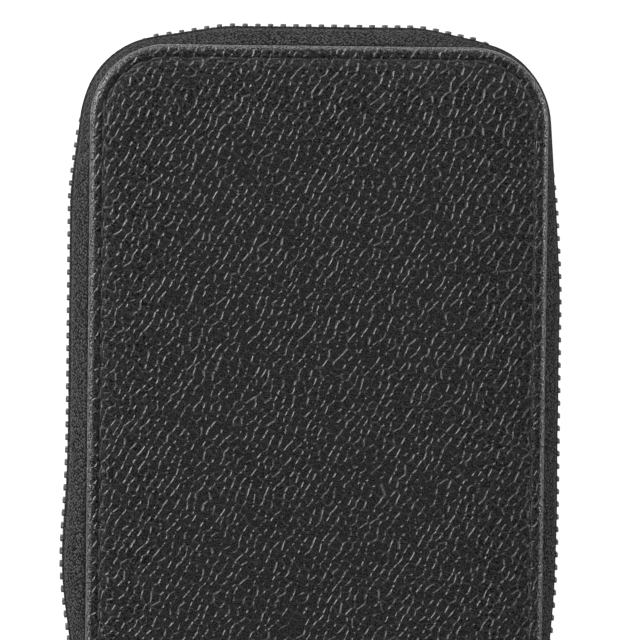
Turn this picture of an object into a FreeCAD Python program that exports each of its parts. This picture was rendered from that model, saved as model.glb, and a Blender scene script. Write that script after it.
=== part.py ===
import FreeCAD, Part
import math
import os
import Sketcher

# Two-pen zip case, lying on its back. Millimetres.
# X runs across the case, Y from the spine to the zipped end, Z out of the front cover.
# The origin is the middle of the back cover's outer face.

SIZES = {
    # Cover panels
    "panel_width": 57.0,
    "panel_length": 160.0,
    "case_depth": 26.0,
    "top_corner_radius": 8.5,
    "spine_corner_radius": 2.5,
    "leather_thickness": 1.1,
    "padding_thickness": 0.8,
    "board_thickness": 1.2,
    "turn_in_thickness": 0.5,
    "turn_in_width": 6.0,
    "layer_gap": 0.1,
    "edge_roll_radius": 0.9,
    "seam_inset": 1.8,
    "seam_width": 0.5,
    "seam_depth": 0.3,
    "lining_thickness": 0.6,
    "lining_inset": 1.2,
    # Zip tape and its chain of teeth
    "tape_thickness": 0.7,
    "tape_tuck": 0.6,
    "tape_margin": 5.0,
    "tape_rise": 1.6,
    "tape_foot_gap": 0.3,
    "tape_lip": 5.0,
    "tape_lip_radius": 3.0,
    "tape_edge_gap": 2.2,
    "zip_bulge": 2.1,
    "zip_corner_radius": 14.0,
    "tooth_pitch": 1.6,
    "tooth_leg_width": 0.5,
    "tooth_head_width": 0.64,
    "tooth_height": 0.6,
    "tooth_leg": 3.0,
    "tooth_reach": 0.9,
    # Stops at the ends of the chain
    "stop_wall": 0.55,
    "stop_length": 2.2,
    "stop_leg": 2.4,
    "stop_gap": 0.3,
    # Slider and pull
    "slider_end": 13.3,
    "slider_length": 10.0,
    "slider_width": 8.4,
    "slider_plate": 1.0,
    "slider_corner_radius": 2.4,
    "slider_play": 0.25,
    "slider_rim": 0.9,
    "neck_width": 1.6,
    "neck_length": 3.5,
    "crown_length": 7.2,
    "crown_width": 2.0,
    "crown_wall": 1.4,
    "crown_opening": 1.7,
    "crown_top": 0.9,
    "pull_length": 22.0,
    "pull_width": 5.2,
    "pull_thickness": 1.2,
    "pull_window_length": 4.5,
    "pull_window_width": 2.6,
    # Spine strip and its folds
    "fold_radius": 0.8,
    "fold_gap": 0.3,
    "spine_inset": 0.4,
    "spine_margin": 4.0,
    "spine_thickness": 1.1,
    "spine_lining_thickness": 0.5,
    "spine_lining_inset": 2.4,
    # Pen loops
    "loop_pitch": 18.0,
    "loop_inside_width": 13.0,
    "loop_clearance": 0.8,
    "loop_thickness": 0.9,
    "loop_round": 6.0,
    "loop_land": 3.0,
    "loop_width": 18.0,
    "upper_loop_place": 42.0,
    "lower_loop_place": 34.0,
    # Slip pocket
    "pocket_side": 5.5,
    "pocket_foot": 10.0,
    "pocket_length": 106.0,
    "pocket_cloth": 0.6,
    "pocket_room": 0.9,
    "pocket_seam": 1.5,
    "binding_width": 5.0,
    "binding_thickness": 0.5,
}

doc = FreeCAD.newDocument("pen_case")
sheet = doc.addObject("Spreadsheet::Sheet", "sizes")
for row, (alias, millimetres) in enumerate(SIZES.items(), start=1):
    sheet.set(f"A{row}", str(millimetres))
    sheet.setAlias(f"A{row}", alias)
doc.recompute()


class Size:
    """A length with both its number and the spreadsheet expression that gives it."""

    def __init__(self, number, text):
        self.number = number
        self.text = text

    def joined(self, sign, other, number):
        other_text = other.text if isinstance(other, Size) else str(other)
        return Size(number, f"({self.text} {sign} {other_text})")

    def __add__(self, other):
        return self.joined("+", other, self.number + number_of(other))

    def __sub__(self, other):
        return self.joined("-", other, self.number - number_of(other))

    def __mul__(self, other):
        return self.joined("*", other, self.number * number_of(other))

    def __truediv__(self, other):
        return self.joined("/", other, self.number / number_of(other))

    def __neg__(self):
        return Size(-self.number, f"(0 - {self.text})")


def number_of(value):
    """The plain number of a Size or of a number."""
    return value.number if isinstance(value, Size) else value


def size(alias):
    """The spreadsheet cell with this alias, as a Size."""
    return Size(float(sheet.get(alias)), f"sizes.{alias}")


def at_least(value, floor):
    """A Size that never falls below a floor."""
    return Size(max(value.number, floor), f"max({value.text}; {floor})")


# Derived places that several pieces share
half_width = size("panel_width") / 2
half_length = size("panel_length") / 2
middle = size("case_depth") / 2
cavity_top = size("leather_thickness") + size("padding_thickness") + size("board_thickness")
panel_back = cavity_top + size("turn_in_thickness")
lining_face = panel_back + size("tape_thickness") + size("lining_thickness")
tape_edge = middle - size("tape_edge_gap") / 2
tape_outside = half_width + size("zip_bulge")
tape_inside = tape_outside - size("tape_thickness")
tape_foot = -half_length + size("tape_foot_gap")
slider_place = -half_length + size("slider_end")
slider_nose = slider_place - size("slider_length") / 2
stop_place = slider_nose - size("stop_gap") - size("stop_length") / 2
fold_place = -half_length - size("fold_gap") - size("fold_radius")
fold_height = panel_back + size("tape_thickness") / 2
pocket_rise = size("pocket_room") + size("pocket_cloth")
binding_face = size("case_depth") - lining_face - pocket_rise - size("binding_thickness")


# Sketch and feature helpers

def new_body(label):
    """An empty body named after its node."""
    body = doc.addObject("PartDesign::Body", label)
    body.Label = label
    return body


def add_rounded_loop(sketch, corners):
    """Close a loop through corners given as (x, y) or (x, y, radius)."""
    count = len(corners)
    points = [FreeCAD.Vector(corner[0].number, corner[1].number, 0) for corner in corners]
    radii = [corner[2] if len(corner) > 2 else None for corner in corners]
    along = [(points[(i + 1) % count] - points[i]).normalize() for i in range(count)]
    reach = [radius.number if radius else 0.0 for radius in radii]
    lines = []
    for i in range(count):
        start = points[i] + along[i] * reach[i]
        end = points[(i + 1) % count] - along[i] * reach[(i + 1) % count]
        lines.append(sketch.addGeometry(Part.LineSegment(start, end)))
    upright = [abs(direction.x) < 1e-9 for direction in along]
    level = [abs(direction.y) < 1e-9 for direction in along]
    for i in range(count):
        if upright[i]:
            sketch.addConstraint(Sketcher.Constraint("Vertical", lines[i]))
            bind_place(sketch, "DistanceX", lines[i], corners[i][0])
        elif level[i]:
            sketch.addConstraint(Sketcher.Constraint("Horizontal", lines[i]))
            bind_place(sketch, "DistanceY", lines[i], corners[i][1])
    for i in range(count):
        before = (i - 1) % count
        if radii[i] is None:
            sketch.addConstraint(Sketcher.Constraint("Coincident", lines[before], 2, lines[i], 1))
            if not (upright[before] or upright[i]):
                bind_place(sketch, "DistanceX", lines[i], corners[i][0])
            if not (level[before] or level[i]):
                bind_place(sketch, "DistanceY", lines[i], corners[i][1])
            continue
        add_corner_arc(sketch, points[i], along[before], along[i], radii[i], lines[before], lines[i])


def add_corner_arc(sketch, point, arriving, leaving, radius, line_before, line_after):
    """Round one corner between two lines that meet at a right angle."""
    centre = point + (leaving - arriving) * radius.number
    turns_left = arriving.cross(leaving).z > 0
    first = point - arriving * radius.number if turns_left else point + leaving * radius.number
    start_angle = math.atan2(first.y - centre.y, first.x - centre.x)
    circle = Part.Circle(centre, FreeCAD.Vector(0, 0, 1), radius.number)
    arc = sketch.addGeometry(Part.ArcOfCircle(circle, start_angle, start_angle + math.pi / 2))
    arc_in, arc_out = (1, 2) if turns_left else (2, 1)
    sketch.addConstraint(Sketcher.Constraint("Tangent", line_before, 2, arc, arc_in))
    sketch.addConstraint(Sketcher.Constraint("Tangent", arc, arc_out, line_after, 1))
    index = sketch.addConstraint(Sketcher.Constraint("Radius", arc, radius.number))
    sketch.setExpression(f"Constraints[{index}]", radius.text)


def bind_place(sketch, kind, line, place):
    """Hold the start of a line at a distance from the sketch origin."""
    index = sketch.addConstraint(Sketcher.Constraint(kind, -1, 1, line, 1, place.number))
    sketch.setExpression(f"Constraints[{index}]", place.text)


def add_circle(sketch, x, y, radius):
    """A circle held by its centre and radius."""
    centre = FreeCAD.Vector(x.number, y.number, 0)
    circle = sketch.addGeometry(Part.Circle(centre, FreeCAD.Vector(0, 0, 1), radius.number))
    for kind, place in (("DistanceX", x), ("DistanceY", y)):
        index = sketch.addConstraint(Sketcher.Constraint(kind, -1, 1, circle, 3, place.number))
        sketch.setExpression(f"Constraints[{index}]", place.text)
    index = sketch.addConstraint(Sketcher.Constraint("Radius", circle, radius.number))
    sketch.setExpression(f"Constraints[{index}]", radius.text)


def new_sketch(body, name, loops=(), plane="XY_Plane", offset=None):
    """A sketch on one of the body's own planes, moved along that plane's normal."""
    sketch = body.newObject("Sketcher::SketchObject", name)
    support = next(item for item in body.Origin.OriginFeatures if item.Role == plane)
    sketch.AttachmentSupport = (support, [""])
    sketch.MapMode = "FlatFace"
    if offset is not None:
        sketch.setExpression("AttachmentOffset.Base.z", offset.text)
    for corners in loops:
        add_rounded_loop(sketch, corners)
    return sketch


def add_pad(body, sketch, length, both_sides=False):
    """Fill a sketch along its normal, or by half the length to each side."""
    pad = body.newObject("PartDesign::Pad", f"{sketch.Name}_pad")
    pad.Profile = sketch
    pad.setExpression("Length", length.text)
    pad.SideType = "Symmetric" if both_sides else "One side"
    return pad


def add_pocket(body, sketch, length, both_sides=False):
    """Cut a sketch against its normal, or by half the length to each side."""
    pocket = body.newObject("PartDesign::Pocket", f"{sketch.Name}_pocket")
    pocket.Profile = sketch
    pocket.setExpression("Length", length.text)
    pocket.SideType = "Symmetric" if both_sides else "One side"
    return pocket


def round_edges(body, name, feature, height, radius):
    """Round every edge of a feature that lies flat at one height."""
    doc.recompute()
    names = []
    for i, edge in enumerate(feature.Shape.Edges, start=1):
        box = edge.BoundBox
        if abs(box.ZMin - height) < 1e-6 and abs(box.ZMax - height) < 1e-6:
            names.append(f"Edge{i}")
    fillet = body.newObject("PartDesign::Fillet", name)
    fillet.Base = (feature, names)
    fillet.setExpression("Radius", radius.text)
    doc.recompute()
    return fillet


def rectangle(left, bottom, right, top):
    """The corners of a plain rectangle."""
    return [(left, bottom), (right, bottom), (right, top), (left, top)]


def panel_loop(inset):
    """The cover's outline moved inwards, with its large corners at the zipped end."""
    x = half_width - inset
    y = half_length - inset
    top_radius = at_least(size("top_corner_radius") - inset, 0.6)
    spine_radius = at_least(size("spine_corner_radius") - inset, 0.6)
    return [(-x, -y, spine_radius), (x, -y, spine_radius), (x, y, top_radius), (-x, y, top_radius)]


def inner_loop(inset):
    """The same outline for what lies inside the cover's edge, which is cut square at the spine."""
    at_spine = [corner[:2] for corner in panel_loop(inset)[:2]]
    return at_spine + panel_loop(inset)[2:]


def margin_loop():
    """The tape's sewn-in band, round three sides of the cover and open at the spine."""
    outer_x = half_width - size("tape_tuck")
    outer_y = half_length - size("tape_tuck")
    inner_x = outer_x - size("tape_margin")
    inner_y = outer_y - size("tape_margin")
    outer_radius = size("top_corner_radius") - size("tape_tuck")
    inner_radius = at_least(outer_radius - size("tape_margin"), 0.6)
    return [
        (outer_x, tape_foot),
        (outer_x, outer_y, outer_radius),
        (-outer_x, outer_y, outer_radius),
        (-outer_x, tape_foot),
        (-inner_x, tape_foot),
        (-inner_x, inner_y, inner_radius),
        (inner_x, inner_y, inner_radius),
        (inner_x, tape_foot),
    ]


def tape_loop(outset, corner_radius):
    """The standing tape cut level, with its ends turned in behind the spine."""
    thickness = size("tape_thickness")
    outer_x = half_width + outset
    outer_y = half_length + outset
    inner_x = outer_x - thickness
    inner_y = outer_y - thickness
    end_x = outer_x - size("tape_lip")
    inner_radius = corner_radius - thickness
    lip_radius = size("tape_lip_radius")
    inner_lip_radius = lip_radius - thickness
    inner_foot = tape_foot + thickness
    return [
        (end_x, tape_foot),
        (outer_x, tape_foot, lip_radius),
        (outer_x, outer_y, corner_radius),
        (-outer_x, outer_y, corner_radius),
        (-outer_x, tape_foot, lip_radius),
        (-end_x, tape_foot),
        (-end_x, inner_foot),
        (-inner_x, inner_foot, inner_lip_radius),
        (-inner_x, inner_y, inner_radius),
        (inner_x, inner_y, inner_radius),
        (inner_x, inner_foot, inner_lip_radius),
        (end_x, inner_foot),
    ]


# Pieces that both covers have, built as for the back cover

def build_leather(label):
    """Outer leather, folded round the board and turned in behind it."""
    body = new_body(label)
    pad = add_pad(body, new_sketch(body, f"{label}_outline", [panel_loop(0)]), panel_back)
    round_edges(body, f"{label}_roll", pad, 0.0, size("edge_roll_radius"))
    cavity = new_sketch(body, f"{label}_cavity", [inner_loop(size("leather_thickness"))], offset=cavity_top)
    add_pocket(body, cavity, size("padding_thickness") + size("board_thickness"))
    window_inset = size("leather_thickness") + size("turn_in_width")
    window = new_sketch(body, f"{label}_window", [inner_loop(window_inset)], offset=panel_back)
    add_pocket(body, window, size("turn_in_thickness"))
    seam_outer = inner_loop(size("seam_inset") - size("seam_width") / 2)
    seam_inner = inner_loop(size("seam_inset") + size("seam_width") / 2)
    seam = new_sketch(body, f"{label}_seam", [seam_outer, seam_inner], offset=size("seam_depth"))
    add_pocket(body, seam, size("seam_depth"))
    return body


def build_layer(label, height, thickness):
    """A sheet that fills the hollow of the folded leather."""
    body = new_body(label)
    inset = size("leather_thickness") + size("layer_gap")
    sketch = new_sketch(body, f"{label}_outline", [inner_loop(inset)], offset=height)
    add_pad(body, sketch, thickness)
    return body


def build_lining(label):
    """Lining cloth over the turned-in edges, sunk to the board in the middle."""
    body = new_body(label)
    sheet_height = panel_back + size("tape_thickness")
    face = new_sketch(body, f"{label}_face", [panel_loop(size("lining_inset"))], offset=sheet_height)
    add_pad(body, face, size("lining_thickness"))
    sunk_inset = size("leather_thickness") + size("turn_in_width") + size("layer_gap")
    sunk = new_sketch(body, f"{label}_sunk", [inner_loop(sunk_inset)], offset=cavity_top)
    add_pad(body, sunk, size("turn_in_thickness") + size("tape_thickness"))
    return body


def build_tape(label):
    """Half of the zip tape, sewn in under the cover's edge and bowed out to the chain."""
    body = new_body(label)
    margin = new_sketch(body, f"{label}_margin", [margin_loop()], offset=panel_back)
    add_pad(body, margin, size("tape_thickness"))
    tuck_radius = size("top_corner_radius") - size("tape_tuck")
    upright_from = middle - size("slider_width") / 2 - size("slider_play")
    half_radius = (tuck_radius + size("zip_corner_radius")) / 2
    levels = [
        (panel_back, -size("tape_tuck"), tuck_radius),
        (panel_back + size("tape_rise"), size("zip_bulge") / 2, half_radius),
        (upright_from, size("zip_bulge"), size("zip_corner_radius")),
        (tape_edge, size("zip_bulge"), size("zip_corner_radius")),
    ]
    sections = []
    for i, (height, outset, radius) in enumerate(levels):
        loop = tape_loop(outset, radius)
        sections.append(new_sketch(body, f"{label}_level_{i}", [loop], offset=height))
    wall = body.newObject("PartDesign::AdditiveLoft", f"{label}_wall")
    wall.Profile = sections[0]
    wall.Sections = sections[1:]
    wall.Ruled = True
    return body


def build_spine_margin(label):
    """The edge of the spine leather that is sewn in under the cover's edge."""
    body = new_body(label)
    x = half_width - size("tape_tuck") - size("tape_margin") - size("fold_gap")
    strip = rectangle(-x, -half_length, x, -half_length + size("spine_margin"))
    add_pad(body, new_sketch(body, f"{label}_strip", [strip], offset=panel_back), size("tape_thickness"))
    return body


def place_along_chain(distance, side, corner, top):
    """Point and outward heading on the tape's outer face, from the right-hand end of the chain."""
    x = tape_outside.number
    radius = size("zip_corner_radius").number
    y = half_length.number + size("zip_bulge").number - radius
    if distance <= side:
        return FreeCAD.Vector(x, y - side + distance, 0), 0.0
    distance -= side
    if distance <= corner:
        angle = distance / radius
        return FreeCAD.Vector(x - radius + radius * math.cos(angle), y + radius * math.sin(angle), 0), angle
    distance -= corner
    if distance <= top:
        return FreeCAD.Vector(x - radius - distance, y + radius, 0), math.pi / 2
    distance -= top
    if distance <= corner:
        angle = math.pi / 2 + distance / radius
        return FreeCAD.Vector(radius - x + radius * math.cos(angle), y + radius * math.sin(angle), 0), angle
    return FreeCAD.Vector(-x, y - (distance - corner), 0), math.pi


def tooth_solid():
    """One tooth, standing on the YZ plane: a leg on the tape that swells to a head past the middle."""
    leg = size("tooth_leg_width").number / 2
    head = size("tooth_head_width").number / 2
    leg_end = middle.number - size("tooth_leg").number
    head_end = middle.number + size("tooth_reach").number
    right_half = [(leg, leg_end), (head, head_end)]
    left_half = [(-y, z) for y, z in reversed(right_half)]
    outline = right_half + left_half + right_half[:1]
    wire = Part.makePolygon([FreeCAD.Vector(0, y, z) for y, z in outline])
    return Part.Face(wire).extrude(FreeCAD.Vector(size("tooth_height").number, 0, 0))


def build_teeth(label, tooth_in_middle):
    """One row of the chain: equal teeth on the tape, whose heads lie between those of the other row."""
    pitch = size("tooth_pitch").number
    radius = size("zip_corner_radius").number
    side = half_length.number + size("zip_bulge").number - radius - slider_place.number
    corner = radius * math.pi / 2
    top = 2 * (tape_outside.number - radius)
    whole = 2 * side + 2 * corner + top
    steps = int((whole / 2) // pitch)
    tooth = tooth_solid()
    if tooth_in_middle:
        marks = [whole / 2 + k * pitch for k in range(-steps, steps + 1)]
    else:
        marks = [whole / 2 + (k + 0.5) * pitch for k in range(-steps, steps)]
    teeth = []
    for mark in marks:
        point, heading = place_along_chain(mark, side, corner, top)
        turn = FreeCAD.Rotation(FreeCAD.Vector(0, 0, 1), math.degrees(heading))
        one = tooth.copy()
        one.Placement = FreeCAD.Placement(point, turn)
        teeth.append(one)
    row = doc.addObject("Part::Feature", label)
    row.Label = label
    row.Shape = Part.makeCompound(teeth)
    return row


def build_stop(label):
    """Clamp over the tape's edge that ends the slider's run."""
    body = new_body(label)
    wall = size("stop_wall")
    foot = tape_edge - size("stop_leg")
    clamp = [
        (tape_inside - wall, foot),
        (tape_inside, foot),
        (tape_inside, tape_edge),
        (tape_outside, tape_edge),
        (tape_outside, foot),
        (tape_outside + wall, foot),
        (tape_outside + wall, tape_edge + wall),
        (tape_inside - wall, tape_edge + wall),
    ]
    sketch = new_sketch(body, f"{label}_clamp", [clamp], plane="XZ_Plane", offset=-stop_place)
    add_pad(body, sketch, size("stop_length"), both_sides=True)
    return body


def lay_over(piece):
    """Turn a piece built for the back cover over onto the front cover."""
    piece.Placement = FreeCAD.Placement(
        FreeCAD.Vector(0, 0, size("case_depth").number), FreeCAD.Rotation(FreeCAD.Vector(0, 1, 0), 180))
    piece.setExpression("Placement.Base.z", size("case_depth").text)


nodes = []
board_height = size("leather_thickness") + size("padding_thickness")
for side_name in ("back", "front"):
    pieces = [
        build_leather(f"{side_name}_leather"),
        build_layer(f"{side_name}_padding", size("leather_thickness"), size("padding_thickness")),
        build_layer(f"{side_name}_board", board_height, size("board_thickness")),
        build_spine_margin(f"{side_name}_spine_margin"),
        build_tape(f"{side_name}_zip_tape"),
        build_teeth(f"{side_name}_zip_teeth", tooth_in_middle=side_name == "back"),
        build_lining(f"{side_name}_lining"),
    ]
    if side_name == "front":
        for piece in pieces:
            lay_over(piece)
    nodes.extend(pieces)

# The front tape's stop is turned end over end, so that it stays on the slider's side.
nodes.append(build_stop("back_zip_stop"))
front_stop = build_stop("front_zip_stop")
front_stop.Placement = FreeCAD.Placement(
    FreeCAD.Vector(0, 2 * stop_place.number, size("case_depth").number),
    FreeCAD.Rotation(FreeCAD.Vector(1, 0, 0), 180))
front_stop.setExpression("Placement.Base.y", (stop_place * 2).text)
front_stop.setExpression("Placement.Base.z", size("case_depth").text)
nodes.append(front_stop)


# Stop at the foot of the left-hand side, where the chain begins

def build_bottom_stop(label):
    """Clamp fixed to the back tape, with a slot that the front tape drops into."""
    body = new_body(label)
    wall = size("stop_wall")
    foot = tape_edge - size("stop_leg")
    head = size("case_depth") - foot
    slot_foot = size("case_depth") - tape_edge - size("layer_gap")
    clamp = [
        (-tape_outside - wall, foot),
        (-tape_outside, foot),
        (-tape_outside, tape_edge),
        (-tape_inside, tape_edge),
        (-tape_inside, foot),
        (-tape_inside + wall, foot),
        (-tape_inside + wall, head),
        (-tape_inside + size("layer_gap"), head),
        (-tape_inside + size("layer_gap"), slot_foot),
        (-tape_outside - size("layer_gap"), slot_foot),
        (-tape_outside - size("layer_gap"), head),
        (-tape_outside - wall, head),
    ]
    place = slider_place - size("tooth_pitch") / 2 - size("stop_gap") - size("stop_length") / 2
    sketch = new_sketch(body, f"{label}_clamp", [clamp], plane="XZ_Plane", offset=-place)
    add_pad(body, sketch, size("stop_length"), both_sides=True)
    return body


nodes.append(build_bottom_stop("zip_bottom_stop"))


# Spine strip between the two folds

def build_spine_leather(label):
    """Strip of leather with a rolled fold along each long edge."""
    body = new_body(label)
    outer = fold_place - size("fold_radius")
    inner = outer + size("spine_thickness")
    upper_fold = size("case_depth") - fold_height
    width = size("panel_width") - size("spine_inset") * 2
    section = rectangle(outer, fold_height, inner, upper_fold)
    strip = new_sketch(body, f"{label}_strip", [section], plane="YZ_Plane")
    add_pad(body, strip, width, both_sides=True)
    folds = new_sketch(body, f"{label}_folds", plane="YZ_Plane")
    add_circle(folds, fold_place, fold_height, size("fold_radius"))
    add_circle(folds, fold_place, upper_fold, size("fold_radius"))
    add_pad(body, folds, width, both_sides=True)
    return body


def build_spine_lining(label):
    """Lining cloth on the inside of the spine, between the folds."""
    body = new_body(label)
    outer = fold_place - size("fold_radius") + size("spine_thickness")
    inner = outer + size("spine_lining_thickness")
    low = fold_height + size("fold_radius") + size("fold_gap")
    high = size("case_depth") - low
    width = size("panel_width") - size("spine_lining_inset") * 2
    cloth = new_sketch(body, f"{label}_cloth", [rectangle(outer, low, inner, high)], plane="YZ_Plane")
    add_pad(body, cloth, width, both_sides=True)
    return body


nodes.append(build_spine_leather("spine_leather"))
nodes.append(build_spine_lining("spine_lining"))


# Elastic pen loops on the back lining

def loop_arch(centre, half_inside, thickness, height, radius):
    """Corners over one arch, from its right foot to its left foot."""
    reach = half_inside + thickness
    return [
        (centre + reach, height[0]),
        (centre + reach, height[1] + thickness, radius),
        (centre - reach, height[1] + thickness, radius),
        (centre - reach, height[0]),
    ]


def build_pen_loops(label, place):
    """One elastic band, sewn down between and beside two arches."""
    body = new_body(label)
    band = size("loop_thickness")
    half_inside = size("loop_inside_width") / 2
    right = size("loop_pitch") / 2
    land_top = lining_face + band
    crown = binding_face - size("loop_clearance") - band
    end = right + half_inside + band + size("loop_land")
    outer_radius = size("loop_round") + band
    inner_radius = size("loop_round")
    over_right = loop_arch(right, half_inside, band, (land_top, crown), outer_radius)
    over_left = loop_arch(-right, half_inside, band, (land_top, crown), outer_radius)
    under_right = loop_arch(right, half_inside, 0, (lining_face, crown), inner_radius)
    under_left = loop_arch(-right, half_inside, 0, (lining_face, crown), inner_radius)
    corners = [(end, lining_face), (end, land_top)] + over_right + over_left
    corners += [(-end, land_top), (-end, lining_face)] + under_left[::-1] + under_right[::-1]
    sketch = new_sketch(body, f"{label}_band", [corners], plane="XZ_Plane", offset=-place)
    add_pad(body, sketch, size("loop_width"), both_sides=True)
    return body


nodes.append(build_pen_loops("upper_pen_loops", size("upper_loop_place")))
nodes.append(build_pen_loops("lower_pen_loops", -size("lower_loop_place")))


# Slip pocket on the front lining, built as for the back cover and laid over

def build_slip_pocket(label):
    """Cloth pocket sewn down on three sides, open towards the zipped end."""
    body = new_body(label)
    x = half_width - size("pocket_side")
    foot = -half_length + size("pocket_foot")
    mouth = foot + size("pocket_length")
    cloth = new_sketch(body, f"{label}_cloth", [rectangle(-x, foot, x, mouth)], offset=lining_face)
    add_pad(body, cloth, pocket_rise)
    seam = size("pocket_seam")
    room = rectangle(-x + seam, foot + seam, x - seam, mouth + seam)
    inside = new_sketch(body, f"{label}_room", [room], offset=lining_face + size("pocket_room"))
    add_pocket(body, inside, size("pocket_room"))
    return body


def build_pocket_binding(label):
    """Leather strip along the mouth of the pocket."""
    body = new_body(label)
    x = half_width - size("pocket_side")
    mouth = -half_length + size("pocket_foot") + size("pocket_length")
    strip = rectangle(-x, mouth - size("binding_width"), x, mouth)
    height = lining_face + pocket_rise
    add_pad(body, new_sketch(body, f"{label}_strip", [strip], offset=height), size("binding_thickness"))
    return body


for pocket_piece in (build_slip_pocket("slip_pocket"), build_pocket_binding("pocket_binding")):
    lay_over(pocket_piece)
    nodes.append(pocket_piece)


# Slider on the right-hand side of the chain, and its pull

inner_plate_face = tape_inside - size("slider_play")
outer_plate_face = tape_outside + size("tooth_height") + size("slider_play")
crown_foot = outer_plate_face + size("slider_plate")
pull_axis = crown_foot + size("crown_opening") / 2


def slider_loop():
    """Outline of the slider's plates, seen from outside the case."""
    half_run = size("slider_length") / 2
    half_across = size("slider_width") / 2
    radius = size("slider_corner_radius")
    return [
        (slider_place - half_run, middle - half_across, radius),
        (slider_place + half_run, middle - half_across, radius),
        (slider_place + half_run, middle + half_across, radius),
        (slider_place - half_run, middle + half_across, radius),
    ]


def build_slider_body(label):
    """Two plates joined by a neck at the nose, with rims that guide the tapes."""
    body = new_body(label)
    inner = new_sketch(
        body, f"{label}_inner", [slider_loop()], plane="YZ_Plane",
        offset=inner_plate_face - size("slider_plate"))
    add_pad(body, inner, size("slider_plate"))
    half_neck = size("neck_width") / 2
    neck = rectangle(
        slider_nose + half_neck, middle - half_neck, slider_nose + size("neck_length"), middle + half_neck)
    neck_sketch = new_sketch(body, f"{label}_neck", [neck], plane="YZ_Plane", offset=inner_plate_face)
    add_pad(body, neck_sketch, outer_plate_face - inner_plate_face)
    outer = new_sketch(body, f"{label}_outer", [slider_loop()], plane="YZ_Plane", offset=outer_plate_face)
    add_pad(body, outer, size("slider_plate"))
    half_run = size("slider_length") / 2 - size("slider_corner_radius")
    edge = size("slider_width") / 2
    rim = size("slider_rim")
    lower_rim = rectangle(slider_place - half_run, middle - edge, slider_place + half_run, middle - edge + rim)
    upper_rim = rectangle(slider_place - half_run, middle + edge - rim, slider_place + half_run, middle + edge)
    rim_foot = tape_outside + size("slider_play")
    rims = new_sketch(body, f"{label}_rims", [lower_rim, upper_rim], plane="YZ_Plane", offset=rim_foot)
    add_pad(body, rims, outer_plate_face - rim_foot)
    return body


def build_slider_crown(label):
    """Arch on the slider's outer plate that holds the pull's bar."""
    body = new_body(label)
    half_run = size("crown_length") / 2
    half_opening = half_run - size("crown_wall")
    opening_top = crown_foot + size("crown_opening")
    top = opening_top + size("crown_top")
    radius = size("crown_wall") * 0.8
    arch = [
        (crown_foot, slider_place + half_run),
        (crown_foot, slider_place + half_opening),
        (opening_top, slider_place + half_opening),
        (opening_top, slider_place - half_opening),
        (crown_foot, slider_place - half_opening),
        (crown_foot, slider_place - half_run),
        (top, slider_place - half_run, radius),
        (top, slider_place + half_run, radius),
    ]
    side_view = new_sketch(body, f"{label}_arch", [arch], offset=middle)
    add_pad(body, side_view, size("crown_width"), both_sides=True)
    return body


def build_pull(label):
    """Flat pull with a round bar that turns under the crown."""
    body = new_body(label)
    half_across = size("pull_width") / 2
    end = slider_place + size("pull_length")
    tip_radius = half_across * 0.8
    plate = [
        (slider_place, middle - half_across),
        (end, middle - half_across, tip_radius),
        (end, middle + half_across, tip_radius),
        (slider_place, middle + half_across),
    ]
    window_half = size("pull_window_width") / 2
    tab = new_sketch(body, f"{label}_tab", [plate], plane="YZ_Plane", offset=pull_axis)
    add_pad(body, tab, size("pull_thickness"), both_sides=True)
    window = rectangle(
        slider_place - size("pull_thickness"), middle - window_half,
        slider_place + size("pull_window_length"), middle + window_half)
    opening = new_sketch(body, f"{label}_window", [window], plane="YZ_Plane", offset=pull_axis)
    add_pocket(body, opening, size("pull_thickness") * 2, both_sides=True)
    bar = new_sketch(body, f"{label}_bar", offset=middle)
    add_circle(bar, pull_axis, slider_place, size("pull_thickness") / 2)
    add_pad(body, bar, size("pull_width"), both_sides=True)
    return body


nodes.append(build_slider_body("slider_body"))
nodes.append(build_slider_crown("slider_crown"))
nodes.append(build_pull("pull_tab"))

doc.recompute()

for item in doc.Objects:
    if "Invalid" in item.State or "Error" in item.State:
        raise RuntimeError(f"{item.Label}: {item.State}")
os.makedirs("parts", exist_ok=True)
for node in nodes:
    if node.Shape.isNull() or not node.Shape.isValid():
        raise RuntimeError(f"{node.Label} has no valid shape")
    node.Shape.exportStep(f"parts/{node.Label}.step")
    print(node.Label, len(node.Shape.Solids), round(node.Shape.Volume, 2))
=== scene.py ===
import math

import bmesh
import bpy
from mathutils import Matrix, Vector, noise


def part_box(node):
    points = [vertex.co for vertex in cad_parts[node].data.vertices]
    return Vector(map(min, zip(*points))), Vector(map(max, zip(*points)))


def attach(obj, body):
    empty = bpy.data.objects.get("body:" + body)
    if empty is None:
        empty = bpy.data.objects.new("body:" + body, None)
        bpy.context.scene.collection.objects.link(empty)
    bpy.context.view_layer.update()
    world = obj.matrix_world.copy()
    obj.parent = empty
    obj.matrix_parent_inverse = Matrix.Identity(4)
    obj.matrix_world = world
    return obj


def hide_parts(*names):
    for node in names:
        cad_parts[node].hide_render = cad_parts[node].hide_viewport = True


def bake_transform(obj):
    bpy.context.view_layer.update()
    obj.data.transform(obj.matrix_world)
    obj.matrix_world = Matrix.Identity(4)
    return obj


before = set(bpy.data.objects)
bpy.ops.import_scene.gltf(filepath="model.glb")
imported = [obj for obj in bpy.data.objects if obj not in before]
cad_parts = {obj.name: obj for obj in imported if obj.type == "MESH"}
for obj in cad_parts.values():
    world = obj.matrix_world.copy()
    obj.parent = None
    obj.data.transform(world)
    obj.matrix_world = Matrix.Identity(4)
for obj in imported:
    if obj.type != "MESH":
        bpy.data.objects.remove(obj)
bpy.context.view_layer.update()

# Two-pen zip case of grained black leather, lying on its back.
# Everything is in metres and in the frame of the CAD model; sizes are written in millimetres times MM.

MM = 0.001
MERGE_DISTANCE = 0.001 * MM

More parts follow.
